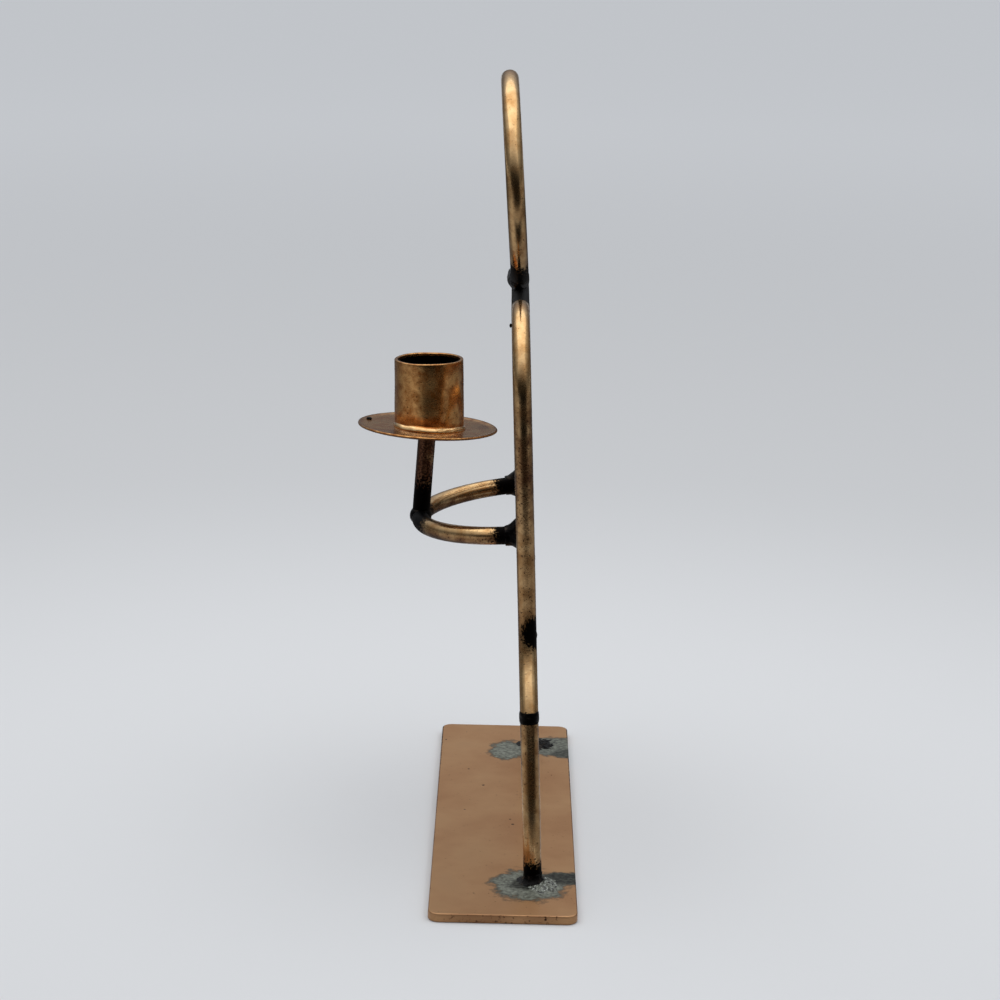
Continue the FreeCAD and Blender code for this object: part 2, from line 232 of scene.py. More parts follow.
def bronzeLacquer(name, look):
    # Bronze-coloured lacquer on bright steel: a warm metal under a thin clear coat, with dark grains where
    # it has aged and where the patina value paints shade, and black where the torch burnt it and where the
    # soot value paints shade
    material, tree = newMaterial(name)
    place = addNode(tree, "ShaderNodeTexCoord").outputs["Object"]
    mottle = grain(tree, place, look["mottleSize"])
    grains = grain(tree, place, look["grainSize"], 2.0)
    fine = grain(tree, place, look["grainSize"] * 0.4, 2.0)
    sootAndShade = addNode(tree, "ShaderNodeAttribute", attribute_name="sootAndShade").outputs["Fac"]
    patinaAndShade = addNode(tree, "ShaderNodeAttribute", attribute_name="patinaAndShade").outputs["Fac"]
    light, deep = hexColour(look["light"]), hexColour(look["deep"])
    colour = blendColours(tree, ramp(tree, mottle, *lacquer["mottle"]), light, deep)
    ageing = ramp(tree, mottle, *lacquer["ageing"], *lacquer["agedShare"])
    shade = mathNode(tree, "MULTIPLY", patinaAndShade, ageing)
    colour = blendColours(tree, shade, colour, hexColour(look["agedAndShaded"]))
    speckled = mathNode(tree, "MULTIPLY_ADD", patinaAndShade, look["speckle"], grains)
    speckled = mathNode(tree, "MULTIPLY_ADD", mottle, 0.12, speckled)
    pitEnd = look["pitStart"] + lacquer["pitSpan"]
    pits = ramp(tree, speckled, look["pitStart"], pitEnd, 0.0, lacquer["pitShare"])
    colour = blendColours(tree, pits, colour, hexColour(look["pit"]))
    ragged = ramp(tree, grains, 0.3, 0.7, -lacquer["blackRagged"], lacquer["blackRagged"])
    edge = ramp(tree, mathNode(tree, "ADD", sootAndShade, ragged), *lacquer["blackEdge"])
    colour = blendColours(tree, edge, colour, hexColour("#090706"))
    rough = ramp(tree, mottle, 0.3, 0.7, look["roughness"] - 0.05, look["roughness"] + 0.07)
    rough = mathNode(tree, "MULTIPLY_ADD", pits, 0.16, rough)
    rough = ramp(tree, edge, 0.0, 1.0, rough, lacquer["blackRoughness"])
    metal = 1.0
    if "stains" in look:
        colour, metal = fluxStains(tree, place, look["stains"], colour)
    relief = mathNode(tree, "ADD", grains, mathNode(tree, "MULTIPLY", fine, 0.5))
    bump = addNode(tree, "ShaderNodeBump", {
        "Height": relief, "Strength": look["bump"], "Distance": mm(lacquer["relief"])})
    finishMaterial(tree, {
        "Base Color": colour, "Metallic": metal, "Roughness": rough, "Normal": bump.outputs[0],
        "Coat Weight": ramp(tree, edge, 0.0, 1.0, look["coat"], 0.0), "Coat Roughness": 0.12,
    })
    return material


def fluxStains(tree, place, stains, colour):
    # Dried flux round each foot: a grey-green film with a ragged edge, burnt lobes and loose black specks
    ragged = grain(tree, place, 5.0, 4.0, 0.65)
    clouds = grain(tree, place, 1.5, 4.0, 0.6)
    share, burnt = 0.0, 0.0
    for middle, reach, charred in stains:
        away = vectorMath(tree, "SUBTRACT", place, mm(*middle)).outputs[0]
        away = vectorMath(tree, "MULTIPLY", away, (1 / mm(reach[0]), 1 / mm(reach[1]), 0.0)).outputs[0]
        length = vectorMath(tree, "LENGTH", away).outputs["Value"]
        film = mathNode(tree, "MULTIPLY_ADD", ragged, 1.1, mathNode(tree, "SUBTRACT", 0.65, length))
        film = ramp(tree, film, 0.20, 0.60)
        share = mathNode(tree, "MAXIMUM", share, film)
        burnt = mathNode(tree, "MAXIMUM", burnt, mathNode(tree, "MULTIPLY", film, charred))
    film = blendColours(tree, ramp(tree, clouds, 0.36, 0.64), hexColour("#4f5046"), hexColour("#8c8f81"))
    film = blendColours(tree, ramp(tree, share, 0.2, 0.75), hexColour("#3a3226"), film)
    film = blendColours(tree, mathNode(tree, "MULTIPLY", burnt, ramp(tree, clouds, 0.35, 0.6, 1.0, 0.8)),
                        film, hexColour("#12100d"))
    colour = blendColours(tree, ramp(tree, share, 0.0, 0.5), colour, film)
    metal = mathNode(tree, "MULTIPLY_ADD", mathNode(tree, "SUBTRACT", share, burnt), -0.6, 1.0)
    cells = addNode(tree, "ShaderNodeTexVoronoi", {"Vector": place, "Scale": 1 / mm(9.0)})
    sized = mathNode(tree, "MULTIPLY", ramp(tree, ragged, 0.45, 0.62), 0.075)
    speck = mathNode(tree, "LESS_THAN", cells.outputs["Distance"], sized)
    return blendColours(tree, speck, colour, hexColour("#2b1a10")), metal


def sootedWeld():
    # Torch-welded steel: black oxide scale, pitted, with a glassy sheen
    material, tree = newMaterial("sootedWeldScale")
    place = addNode(tree, "ShaderNodeTexCoord").outputs["Object"]
    scale = grain(tree, place, 0.7)
    patches = grain(tree, place, 2.6)
    patch = ramp(tree, patches, 0.56, 0.70)
    colour = blendColours(tree, patch, hexColour("#090706"), hexColour("#2e2721"))
    bump = addNode(tree, "ShaderNodeBump", {"Height": scale, "Strength": 0.7, "Distance": mm(0.12)})
    finishMaterial(tree, {
        "Base Color": colour, "Metallic": 0.9, "Roughness": ramp(tree, scale, 0.3, 0.7, 0.2, 0.45),
        "Normal": bump.outputs[0],
    })
    return material


def fluxCrust():
    # Burnt flux and slag on the foot: grey-green and chalky white over black, with glassy glints
    material, tree = newMaterial("burntFluxCrust")
    place = addNode(tree, "ShaderNodeTexCoord").outputs["Object"]
    lumps = grain(tree, place, 1.0, 4.0)
    chalk = grain(tree, place, 0.6, 3.0)
    colour = blendColours(tree, ramp(tree, lumps, 0.42, 0.52), hexColour("#171512"), hexColour("#65675c"))
    colour = blendColours(tree, ramp(tree, chalk, 0.55, 0.62), colour, hexColour("#b4b8ae"))
    bump = addNode(tree, "ShaderNodeBump", {"Height": chalk, "Strength": 0.8, "Distance": mm(0.15)})
    finishMaterial(tree, {
        "Base Color": colour, "Roughness": ramp(tree, chalk, 0.4, 0.6, 0.65, 0.25),
        "Normal": bump.outputs[0],
    })
    return material


frontFoot = figurePlace @ mm(0, -legSpacing, 0) / milli
rearFoot = figurePlace @ mm(0, legSpacing, 0) / milli
rodMetal = bronzeLacquer("bronzeLacquerOnRod", {
    "light": "#dcb681", "deep": "#bf9058", "agedAndShaded": "#62402a", "pit": "#34190c", "roughness": 0.21,
    "mottleSize": 5.5, "grainSize": 0.75, "speckle": 0.12, "pitStart": 0.71, "bump": 0.45, "coat": 0.15,
})
plateMetal = bronzeLacquer("bronzeLacquerOnFlatBar", {
    "light": "#c0966b", "deep": "#ae835c", "agedAndShaded": "#6b4630", "pit": "#3a2415", "roughness": 0.50,
    "mottleSize": 34.0, "grainSize": 1.1, "speckle": 0.16, "pitStart": 0.75, "bump": 0.1, "coat": 0.1,
    # middle and reach in millimetres, and how burnt
    "stains": (((frontFoot.x - 1.0, frontFoot.y - 4.0, 0.0), (14.5, 17.0), 0.0),
               ((frontFoot.x + 13.0, frontFoot.y + 3.0, 0.0), (15.0, 6.5), 0.9),
               ((frontFoot.x - 2.0, frontFoot.y - 3.0, 0.0), (7.5, 6.0), 0.8),
               ((rearFoot.x - 9.0, rearFoot.y - 8.0, 0.0), (8.5, 12.0), 0.0),
               ((rearFoot.x + 8.0, rearFoot.y - 2.0, 0.0), (12.0, 13.0), 0.2),
               ((rearFoot.x + 14.0, rearFoot.y - 11.0, 0.0), (7.0, 7.0), 0.7)),
})
cupMetal = bronzeLacquer("bronzeLacquerOnTube", {
    "light": "#ecb470", "deep": "#b37336", "agedAndShaded": "#764626", "pit": "#4a2c16", "roughness": 0.23,
    "mottleSize": 3.2, "grainSize": 0.9, "speckle": 0.08, "pitStart": 0.71, "bump": 0.45, "coat": 0.1,
})
weldScale = sootedWeld()
crustMaterial = fluxCrust()
brightSolder = bronzeLacquer("bronzeLacquerOnSolder", {
    "light": "#e0bb85", "deep": "#c99a60", "agedAndShaded": "#8a5f3e", "pit": "#3a2614", "roughness": 0.22,
    "mottleSize": 3.0, "grainSize": 0.6, "speckle": 0.0, "pitStart": 0.72, "bump": 0.3, "coat": 0.3,
})
print("materials made")


def pushOut(tree, geometry, noiseValue, height):
    # Moves each point along its normal by up to half the height, in or out
    lift = mathNode(tree, "MULTIPLY", mathNode(tree, "SUBTRACT", noiseValue, 0.5), height)
    outward = addNode(tree, "GeometryNodeInputNormal").outputs[0]
    shift = addNode(tree, "ShaderNodeVectorMath", {0: outward, "Scale": lift}, operation="SCALE")
    return addNode(tree, "GeometryNodeSetPosition", {
        "Geometry": geometry, "Offset": shift.outputs[0]}).outputs[0]


# Rods: one section swept along a path, with the slight waviness of hand-bent rod
def makeSweepTree(name, scrolled):
    inputs = [
        ("Rod Diameter", "Float", 0.0), ("Sides", "Int", 8), ("Waviness", "Float", 0.0),
        ("Wave Length", "Float", 1.0), ("Seed", "Float", 0.0), ("Material", "Material", None),
    ]
    if scrolled:
        inputs += [
            ("Outer Radius", "Float", 0.0), ("Step In", "Float", 0.0), ("Half Turns", "Int", 1),
            ("Points Per Half Turn", "Int", 8), ("Axis Height", "Float", 0.0), ("Tail Points", "Int", 1),
            ("Tail Length", "Float", 0.0),
        ]
    tree, given = newTree(name, inputs)
    source = scrollLine(tree, given) if scrolled else given["Geometry"]
    path = addNode(tree, "GeometryNodeMeshToCurve", {"Mesh": source})
    radius = mathNode(tree, "MULTIPLY", given["Rod Diameter"], 0.5)
    section = addNode(tree, "GeometryNodeCurvePrimitiveCircle", {
        "Resolution": given["Sides"], "Radius": radius})
    swept = addNode(tree, "GeometryNodeCurveToMesh", {
        "Curve": path.outputs[0], "Profile Curve": section.outputs[0], "Fill Caps": True,
    })
    place = addNode(tree, "GeometryNodeInputPosition").outputs[0]
    waves = addNode(tree, "ShaderNodeTexNoise", {
        "Vector": place, "W": given["Seed"], "Scale": mathNode(tree, "DIVIDE", 1.0, given["Wave Length"]),
    }, noise_dimensions="4D")
    moved = pushOut(tree, swept.outputs[0], waves.outputs[0], given["Waviness"])
    endTree(tree, moved, given["Material"])
    return tree


def scrollLine(tree, given):
    # Half turns about two centres, a step apart: the radius shrinks by one step each half turn
    steps = mathNode(tree, "MULTIPLY", given["Half Turns"], given["Points Per Half Turn"])
    count = mathNode(tree, "ADD", mathNode(tree, "ADD", steps, given["Tail Points"]), 1.0)
    line = addNode(tree, "GeometryNodeMeshLine", {"Count": count})
    index = addNode(tree, "GeometryNodeInputIndex").outputs[0]
    turns = mathNode(tree, "DIVIDE", mathNode(tree, "SUBTRACT", index, given["Tail Points"]),
                     given["Points Per Half Turn"])
    wound = mathNode(tree, "MAXIMUM", turns, 0.0)
    last = mathNode(tree, "SUBTRACT", given["Half Turns"], 1.0)
    whole = mathNode(tree, "MINIMUM", mathNode(tree, "FLOOR", wound), last)
    shrunk = mathNode(tree, "MULTIPLY", whole, given["Step In"])
    radius = mathNode(tree, "SUBTRACT", given["Outer Radius"], shrunk)
    centre = mathNode(tree, "MULTIPLY", mathNode(tree, "MODULO", whole, 2.0), given["Step In"])
    angle = mathNode(tree, "MULTIPLY", mathNode(tree, "SUBTRACT", 1.0, wound), math.pi)
    across = mathNode(tree, "MULTIPLY_ADD", radius, mathNode(tree, "COSINE", angle), centre)
    up = mathNode(tree, "MULTIPLY_ADD", radius, mathNode(tree, "SINE", angle), given["Axis Height"])
    tailShare = mathNode(tree, "DIVIDE", mathNode(tree, "SUBTRACT", given["Tail Points"], index),
                         given["Tail Points"])
    tail = mathNode(tree, "MULTIPLY", mathNode(tree, "MAXIMUM", tailShare, 0.0), given["Tail Length"])
    spot = addNode(tree, "ShaderNodeCombineXYZ", {"Y": across, "Z": mathNode(tree, "SUBTRACT", up, tail)})
    return addNode(tree, "GeometryNodeSetPosition", {
        "Geometry": line.outputs[0], "Position": spot.outputs[0],
    }).outputs[0]


sweepTree = makeSweepTree("sweptRod", False)
scrollTree = makeSweepTree("scrolledRod", True)


def arcPoints(across, up, radius, start, end):
    count = max(2, round(abs(end - start) * math.pi / 180 * radius / rod["step"]))
    turns = [math.radians(start + (end - start) * i / count) for i in range(count + 1)]
    return [(across + radius * math.cos(a), up + radius * math.sin(a)) for a in turns]


def runPoints(start, end):
    count = max(1, round(math.dist(start, end) / rod["step"]))
    return [tuple(s + (e - s) * i / count for s, e in zip(start, end)) for i in range(count + 1)]


def pathMesh(points, closed=False):
    # Points (across, up) in the upright plane, in millimetres; doubles where two stretches meet are dropped
    kept = [points[0]]
    for point in points[1:]:
        if math.dist(point, kept[-1]) > 0.01:
            kept.append(point)
    if closed and math.dist(kept[0], kept[-1]) < 0.01:
        kept.pop()
    edges = [(i, i + 1) for i in range(len(kept) - 1)] + ([(len(kept) - 1, 0)] if closed else [])
    mesh = bpy.data.meshes.new("path")
    mesh.from_pydata([mm(0, across, up) for across, up in kept], edges, [])
    return mesh


def rodValues(seed):
    return {
        "Rod Diameter": mm(rod["diameter"]), "Sides": rod["sides"], "Waviness": mm(rod["waviness"] * 2),
        "Wave Length": mm(rod["waveLength"]), "Seed": seed, "Material": rodMetal,
    }


def sweepRod(name, points, place, seed, patinaAndShade, sootAndShade, closed=False):
    piece = grow(name, sweepTree, rodValues(seed), pathMesh(points, closed), place)
    return seat(weatherAndShade(piece, place, patinaAndShade, sootAndShade), "rod_lacquer", name)


for side, sign in (("front", -1), ("rear", 1)):
    foot = (sign * legSpacing, -0.3)
    top = (sign * legSpacing, figure["legHeight"])
    legSoot = [
        (figurePlace, (0, foot[0], 0), (9, 9, 7.5), 1.0),
        (figurePlace, (0, foot[0], figure["legHeight"]), (7, 7, 2.0), 1.0),
    ]
    legPatina = [(0, 0.7), (20, 0.35), (60, 0.7)]
    sweepRod(f"{side}_leg", runPoints(foot, top), figurePlace, 1.0 + sign, legPatina, legSoot)


def frameSide():
    # The rear half, from the leg's top up to the middle of the top run
    cornerAcross = halfWidth - figure["cornerRadius"]
    cornerUp = frameTop - rodRadius - figure["cornerRadius"]
    soleAcross = legSpacing - figure["soleRadius"] * math.cos(toe)
    soleUp = figure["legHeight"] - figure["soleRadius"] * math.sin(toe)
    toeAngle, flareAngle = figure["toeAngle"], figure["toeAngle"] + figure["soleTurn"]
    points = arcPoints(soleAcross, soleUp, figure["soleRadius"], toeAngle - 1.0, flareAngle)
    flareAcross = halfWidth + figure["flareRadius"]
    points += arcPoints(flareAcross, strandFoot, figure["flareRadius"], 180 + flareAngle, 180)
    points += runPoints((halfWidth, strandFoot), (halfWidth, cornerUp))
    points += arcPoints(cornerAcross, cornerUp, figure["cornerRadius"], 0, 90)
    return points + runPoints((cornerAcross, frameTop - rodRadius), (0.0, frameTop - rodRadius))


rearSide = frameSide()
frontSide = [(-across, up) for across, up in reversed(rearSide)]
# Painted shade by height: the strands are darkened most at 86 mm and from 135 to 160 mm, and left light on
# the flare and the top corner
frameShadeByHeight = [
    (58, 0.15), (76, 0.15), (86, 0.8), (95, 0.45), (118, 0.45), (135, 1.0), (160, 0.9), (172, 0.25),
    (200, 0.1),
]
frameBlackSpots = [
    # The first four spots black the top run round the ring's weld and out to about 30 mm towards the front
    (figurePlace, (0, -5, frameTop), (9, 9, 5), 1.0),
    (figurePlace, (0, -17, frameTop), (9, 9, 5), 1.0),
    (figurePlace, (0, -26, frameTop), (9, 6, 4.5), 1.0),
    (figurePlace, (0, 5, frameTop), (9, 9, 5), 1.0),
    (figurePlace, (1.9, -halfWidth, 86.5), (4.0, 9, 5.6), 1.0),
    (figurePlace, (0, -legSpacing, figure["legHeight"]), (7, 7, 2.0), 1.0),
    (figurePlace, (0, legSpacing, figure["legHeight"]), (7, 7, 2.0), 1.0),
    (figurePlace, (3.0, halfWidth, scrollAxis), (3.0, 5, 3.5), 0.9),
]
sweepRod("outer_frame", rearSide + frontSide, figurePlace, 3.0, frameShadeByHeight, frameBlackSpots)

scrollValues = rodValues(5.0) | {
    "Outer Radius": mm(scrollRadius), "Step In": mm(scroll["pitch"] / 2), "Half Turns": scroll["halfTurns"],
    "Points Per Half Turn": scroll["pointsPerHalfTurn"], "Axis Height": mm(scrollAxis),
    "Tail Points": 36, "Tail Length": mm(scrollAxis - scrollTail),
}
spiral = grow("spiral_scroll", scrollTree, scrollValues, place=figurePlace)
spiralSoot = [
    (archPlace, (-2, -arch["radius"], 1.0), (6, 7, 7.5), 1.0),
    (archPlace, (-2, arch["radius"], 1.0), (6, 7, 7.5), 1.0),
    (figurePlace, (2.4, -scrollRadius, 86.5), (4, 6, 6), 1.0),
    (figurePlace, (2.4, -scrollRadius, scrollAxis - 3), (3, 4, 3.5), 0.9),
    (figurePlace, (2.4, scrollRadius + 5, scrollAxis), (3, 5, 3.5), 0.9),
]
weatherAndShade(spiral, figurePlace, [(60, 0.55), (115, 0.4), (175, 0.2)], spiralSoot)
seat(spiral, "rod_lacquer", "spiral_scroll")

crownRadius = crown["diameter"] / 2 - rodRadius
crownPoints = arcPoints(0, crownRadius + rodRadius, crownRadius, -90, 270)
crownSoot = [
    (crownPlace, (0, 0, 2), (9, 12, 6), 1.0),
    (crownPlace, (0, -13, 6.5), (7, 7, 4.5), 1.0),
    (crownPlace, (-2, -17, 9), (7, 8, 5.5), 1.0),
]
crownPatina = [(0, 0.6), (30, 0.5), (45, 0.2), (76, 0.08)]
sweepRod("crown_ring", crownPoints, crownPlace, 7.0, crownPatina, crownSoot, closed=True)

laidDown = Matrix.Rotation(math.radians(-90), 4, "Y")  # the upright plane's top turns towards -X
archPoints = arcPoints(0, 0, arch["radius"], 180, 0)
archSoot = [
    (archPlace, (-3.5, -arch["radius"], 0), (7.5, 9, 9), 1.0),
    (archPlace, (-3.5, arch["radius"], 0), (8.5, 9, 9), 1.0),
    (archPlace, (-arch["radius"] + 1, -4, 0), (7.0, 14, 8.5), 1.0),
]
archPiece = grow("candle_arch", sweepTree, rodValues(9.0), pathMesh(archPoints), archPlace @ laidDown)
# Painted shade: the arch rod's underside is darkened and its top left light
weatherAndShade(archPiece, archPlace, [(-3, 1.0), (-0.5, 0.9), (1.5, 0.2), (4, 0.1)], archSoot)
seat(archPiece, "rod_lacquer", "candle_arch")

postPoints = runPoints((0, 0), (0, post["length"]))
postSoot = [
    (postPlace, (0, 0, 2.5), (8, 8, 12), 1.0), (postPlace, (0, 0, post["length"]), (6, 6, 2.5), 0.8),
]
sweepRod("candle_post", postPoints, postPlace, 11.0, [(0, 1.9), (34, 1.6)], postSoot)
print("rods made")


# Turned pieces: the pan, the cup and the solder round it
def latheMesh(name, profile, sides=160, closed=False):
    # Spins (radius, height) points round the axis; a point at radius zero closes the mesh
    mesh = bpy.data.meshes.new(name)
    builder = bmesh.new()
    rings = []
    for radius, height in profile:
        if radius < 1e-6:
            rings.append([builder.verts.new(mm(0, 0, height))])
            continue
        turns = [2 * math.pi * i / sides for i in range(sides)]
        spots = [mm(radius * math.cos(a), radius * math.sin(a), height) for a in turns]
        rings.append([builder.verts.new(spot) for spot in spots])
    pairs = list(zip(rings, rings[1:])) + ([(rings[-1], rings[0])] if closed else [])
    for lower, upper in pairs:
        for i in range(sides):
            j = (i + 1) % sides
            around = ((lower, i), (lower, j), (upper, j), (upper, i))
            corners = [ring[at % len(ring)] for ring, at in around]
            corners = list(dict.fromkeys(corners))
            if len(corners) > 2:
                builder.faces.new(corners)
    bmesh.ops.recalc_face_normals(builder, faces=builder.faces)
    builder.to_mesh(mesh)
    builder.free()
    mesh.polygons.foreach_set("use_smooth", [True] * len(mesh.polygons))
    return mesh


def turned(name, profile, place, material, closed=False):
    mesh = latheMesh(name, profile, closed=closed)
    mesh.materials.append(material)
    mesh.transform(place)
    return newPiece(name, mesh)


def spread(start, end, count):
    return [tuple(s + (e - s) * i / count for s, e in zip(start, end)) for i in range(count + 1)]


def rounding(across, up, radius, start, end, count=6):
    turns = [math.radians(start + (end - start) * i / count) for i in range(count + 1)]
    return [(across + radius * math.cos(a), up + radius * math.sin(a)) for a in turns]


dentSeed = 1
noise.seed_set(dentSeed)  # noise_vector starts from the clock otherwise, and the dents change each run


def dent(piece, amplitude, size, seed):
    # Slight unevenness, the same on both faces of a thin wall
    for vertex in piece.data.vertices:
        spot = Vector(vertex.co) / mm(size) + Vector((seed, 0, 0))
        vertex.co += mm(amplitude) * noise.noise_vector(spot)
    return piece


pan = {"radius": 25.4, "thickness": 0.9, "lipWidth": 3.0, "lipRise": 0.5, "lean": 2.3, "nod": 2.0}
panPlace = leanAt(postPlace @ mm(0, 0, post["length"]), pan["lean"], pan["nod"])


def panProfile():
    inner, outer = pan["radius"] - pan["lipWidth"], pan["radius"] - pan["thickness"] / 2
    top, rise, half = pan["thickness"], pan["lipRise"], pan["thickness"] / 2
    under = spread((0, 0), (inner, 0), 14) + [(inner + 1.0, rise * 0.15), (inner + 2.0, rise * 0.6)]
    edge = rounding(outer, rise + half, half, -90, 90)
    over = [(inner + 2.0, rise * 0.6 + top), (inner + 1.0, rise * 0.15 + top)]
    over += spread((inner, top), (0, top), 14)
    return under + edge + over


panPiece = dent(turned("drip_pan", panProfile(), panPlace, cupMetal), 0.25, 22.0, 4.0)
# Painted shade: the pan's underside is darkened fully and its raised lip partly, the flat top left light
panShadeByHeight = [(0, 1.8), (0.7, 1.8), (0.85, 0.2), (1.0, 0.25), (1.3, 0.8)]
panSoot = [(panPlace, (0, 0, 0), (6, 6, 0.7), 1.0)]
weatherAndShade(panPiece, panPlace, panShadeByHeight, panSoot)
seat(panPiece, "cup_lacquer", "drip_pan")

cup = {
    "outer": 12.45, "wall": 1.2, "height": 25.0, "floor": 2.0, "rim": 0.4, "inset": 0.6, "lean": -1.3,
}
cupFoot = panPlace @ mm(cup["inset"], 0, pan["thickness"])
cupPlace = leanAt(cupFoot, cup["lean"])


def cupProfile():
    outer, bore, top, rim = cup["outer"], cup["outer"] - cup["wall"], cup["height"], cup["rim"]
    outside = [(0, -0.9)] + spread((outer, -0.9), (outer, top - rim), 24)
    lip = rounding(outer - rim, top - rim, rim, 0, 90)[1:] + rounding(bore + rim, top - rim, rim, 90, 180)
    inside = spread((bore, top - rim), (bore, cup["floor"] + 0.8), 24)[1:] + rounding(
        bore - 0.8, cup["floor"] + 0.8, 0.8, 0, -90)[1:]
    return outside + lip + inside + [(0, cup["floor"])]


cupPiece = turned("candle_cup", cupProfile(), cupPlace, cupMetal)
weatherAndShade(cupPiece, cupPlace, [(0, 0.25), (12, 0.3), (25, 0.5)], [])
for vertex, value in zip(cupPiece.data.vertices, cupPiece.data.attributes["sootAndShade"].data):
    # painted shade: the bore is painted black from its floor to just under the rim
    spot = cupPlace.inverted() @ vertex.co / milli
    inBore = math.hypot(spot.x, spot.y) < cup["outer"] - cup["wall"] * 0.7 and spot.z > cup["floor"] / 2
    value.value = 0.9 if inBore and spot.z < cup["height"] - 0.5 else 0.0
dent(cupPiece, 0.16, 9.0, 2.0)
seat(cupPiece, "cup_lacquer", "candle_cup")

solder = {"width": 1.6, "height": 2.0, "sunk": 0.6}
solderRoot = cup["outer"] - solder["sunk"]
solderProfile = [(solderRoot, -0.15)] + [
    (solderRoot + (solder["width"] + solder["sunk"]) * math.cos(math.radians(a)),
     solder["height"] * math.sin(math.radians(a))) for a in range(0, 91, 9)
]
solderPlace = panPlace @ Matrix.Translation(mm(cup["inset"], 0, pan["thickness"]))
solderPiece = turned("cup_solder", solderProfile, solderPlace, brightSolder, closed=True)
for vertex in solderPiece.data.vertices:
    # full at the front, where the solder ran out, and thin round the back
    spot = solderPlace.inverted() @ vertex.co
    radius = spot.xy.length
    share = 0.3 + 0.7 * max(0.0, 0.5 - 0.5 * spot.y / radius) ** 1.3
    spot.xy *= (mm(solderRoot) + (radius - mm(solderRoot)) * share) / radius
    spot.z *= share
    vertex.co = solderPlace @ spot
seat(dent(solderPiece, 0.22, 4.0, 8.0), "bright_solder", "cup_solder")
print("turned pieces made")


# Foot: a flat bar with rounded corners and slightly rolled edges
plate = {"width": 50.8, "length": 203.2, "thickness": 3.175, "corner": 4.0, "edge": 0.55}


def plateOutline(inset):
    radius = plate["corner"] - inset
    points = []
    for start, sideX, sideY in ((0, 1, 1), (90, -1, 1), (180, -1, -1), (270, 1, -1)):
        cornerX = sideX * (plate["width"] / 2 - plate["corner"])
        cornerY = sideY * (plate["length"] / 2 - plate["corner"])
        points += rounding(cornerX, cornerY, radius, start, start + 90, 10)
    return points


def makePlate():
    edge, thickness = plate["edge"], plate["thickness"]
    turns = [math.radians(a) for a in range(0, 91, 15)]
    levels = [(edge * (1 - math.sin(a)), edge * (1 - math.cos(a))) for a in turns]
    levels += [(inset, thickness - height) for inset, height in reversed(levels)]
    builder = bmesh.new()
    rings = []
    for inset, height in levels:
        rings.append([builder.verts.new(mm(x, y, height)) for x, y in plateOutline(inset)])
    for lower, upper in zip(rings, rings[1:]):
        for i in range(len(lower)):
            j = (i + 1) % len(lower)
            builder.faces.new((lower[i], lower[j], upper[j], upper[i]))
    builder.faces.new(list(reversed(rings[0])))
    builder.faces.new(rings[-1])
    bmesh.ops.recalc_face_normals(builder, faces=builder.faces)
    mesh = bpy.data.meshes.new("base_plate")
    builder.to_mesh(mesh)
    builder.free()
    for face in mesh.polygons:
        face.use_smooth = len(face.vertices) == 4
    mesh.materials.append(plateMetal)
    return newPiece("base_plate", mesh)


# Painted shade by height: the plate's sides and bevel are darker than its top
platePiece = weatherAndShade(makePlate(), Matrix(), [(0, 0.6), (2.8, 0.6), (3.0, 1.0), (3.17, 0.1)], [])
for vertex, value in zip(platePiece.data.vertices, platePiece.data.attributes["sootAndShade"].data):
    # painted shade: the bevel along the sides and the back is darkened, and the front one is left bright
    # for its highlight
    spot = vertex.co / milli
    value.value = 0.62 if 2.7 < spot.z < 3.17 and spot.y > 5 - plate["length"] / 2 else 0.0
seat(platePiece, "plate_lacquer", "base_plate")


# Welds: lumpy beads, collars and fillets on the frame's own places
def makeLumpTree():
    tree, given = newTree("lumpyWeld", [
        ("Lump", "Float", 0.0), ("Lump Size", "Float", 1.0), ("Seed", "Float", 0.0),
        ("Material", "Material", None),
    ])
    place = addNode(tree, "GeometryNodeInputPosition").outputs[0]
    lumps = addNode(tree, "ShaderNodeTexNoise", {
        "Vector": place, "W": given["Seed"], "Scale": mathNode(tree, "DIVIDE", 1.0, given["Lump Size"]),
        "Detail": 3.0,
    }, noise_dimensions="4D")
    moved = pushOut(tree, given["Geometry"], lumps.outputs[0], given["Lump"])
    endTree(tree, moved, given["Material"])
    return tree


lumpTree = makeLumpTree()
lump = {"height": 1.0, "size": 2.2}


def makeWeld(name, mesh, place, seed, share=1.0, material=weldScale, replaced=None):
    values = {
        "Lump": mm(lump["height"] * share), "Lump Size": mm(lump["size"]), "Seed": seed,
        "Material": material,
    }
    piece = grow(name, lumpTree, values, mesh, place)
    return seat(piece, "sooted_weld", *([name] if replaced is None else replaced))


def ballMesh(name, halfSize):
    mesh = bpy.data.meshes.new(name)
    builder = bmesh.new()
    bmesh.ops.create_icosphere(builder, subdivisions=5, radius=1.0)
    builder.to_mesh(mesh)
    builder.free()
    mesh.transform(Matrix.Diagonal((*halfSize, 1.0)))
    return mesh


def collarMesh(name, halfHeight, standOut):
    turns = [math.radians(a) for a in range(-90, 91, 10)]
    profile = [(rodRadius + standOut * math.cos(a), halfHeight * math.sin(a)) for a in turns]
    profile = [(rodRadius - 0.5, -halfHeight)] + profile + [(rodRadius - 0.5, halfHeight)]
    return latheMesh(name, profile, 96, closed=True)


def beadOnNode(name, seed, growth, share):
    low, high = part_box(name)
    mesh = ballMesh(name, (high - low) / 2 * growth)
    return makeWeld(name, mesh, Matrix.Translation((low + high) / 2), seed, share)


